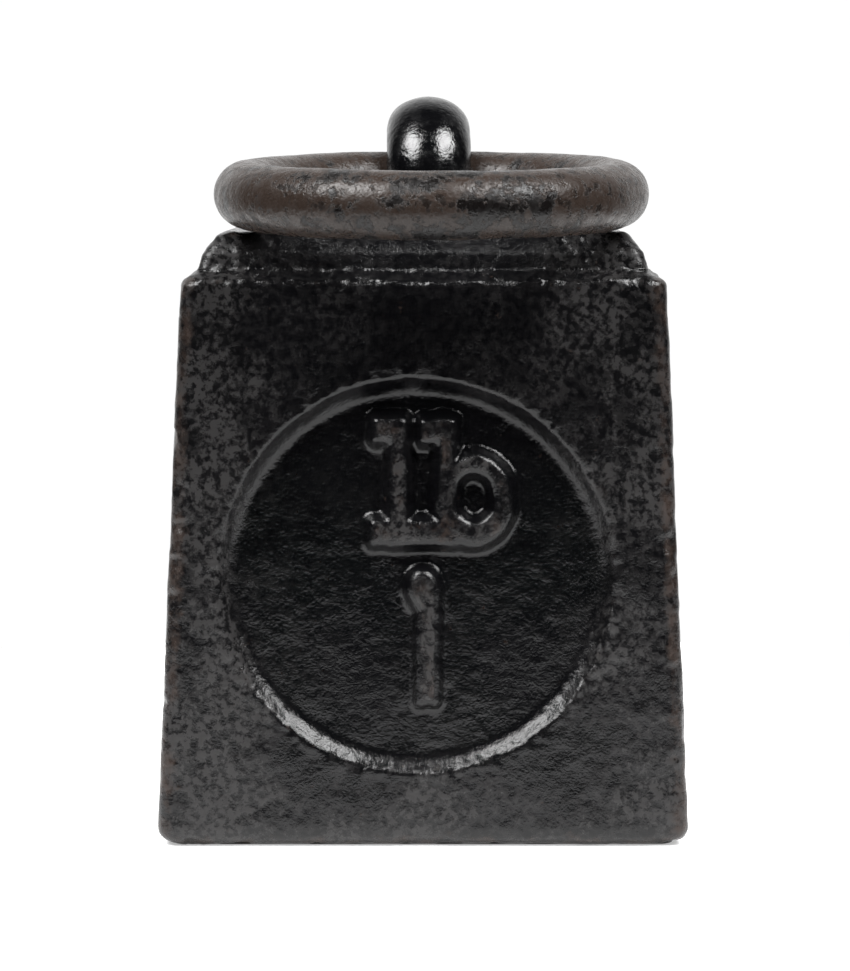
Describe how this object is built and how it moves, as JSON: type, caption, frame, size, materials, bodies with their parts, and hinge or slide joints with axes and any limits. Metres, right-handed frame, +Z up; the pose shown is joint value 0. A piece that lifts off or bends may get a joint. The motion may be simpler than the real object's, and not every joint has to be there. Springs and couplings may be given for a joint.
{
  "type": "cast iron ring weight",
  "caption": "Square tapered cast iron weight with a sunk round panel, raised unit and number, cast-in eye, swinging ring and lead adjusting plug.",
  "frame": {"origin": "middle of the flat base, on the surface it stands on", "axes": "+Z up through the neck, -Y out of the front face that bears the raised denomination, +X to the right of a reader who faces that front"},
  "size_m": [0.0388, 0.0489, 0.0547],
  "materials": {
    "black_cast_iron": "worn semi-gloss black paint on a fine sand-cast surface",
    "black_forged_iron": "glossy black paint on smooth forged iron",
    "brown_forged_iron": "dark brown satin patina with remains of black paint",
    "lead": "dull grey lead, hammered in and filed flush"
  },
  "bodies": {
    "weight": {"weight_body": "black_cast_iron", "ring_eye": "black_forged_iron", "adjusting_lead": "lead"},
    "swinging_ring": {"ring": "brown_forged_iron"}
  },
  "joints": [
    {"name": "ring_swing", "type": "hinge", "parent": "weight", "child": "swinging_ring", "pos_m": [0.0006, 0, 0.04814], "axis": [-1, 0, 0], "range_deg": [0, 186]}
  ]
}
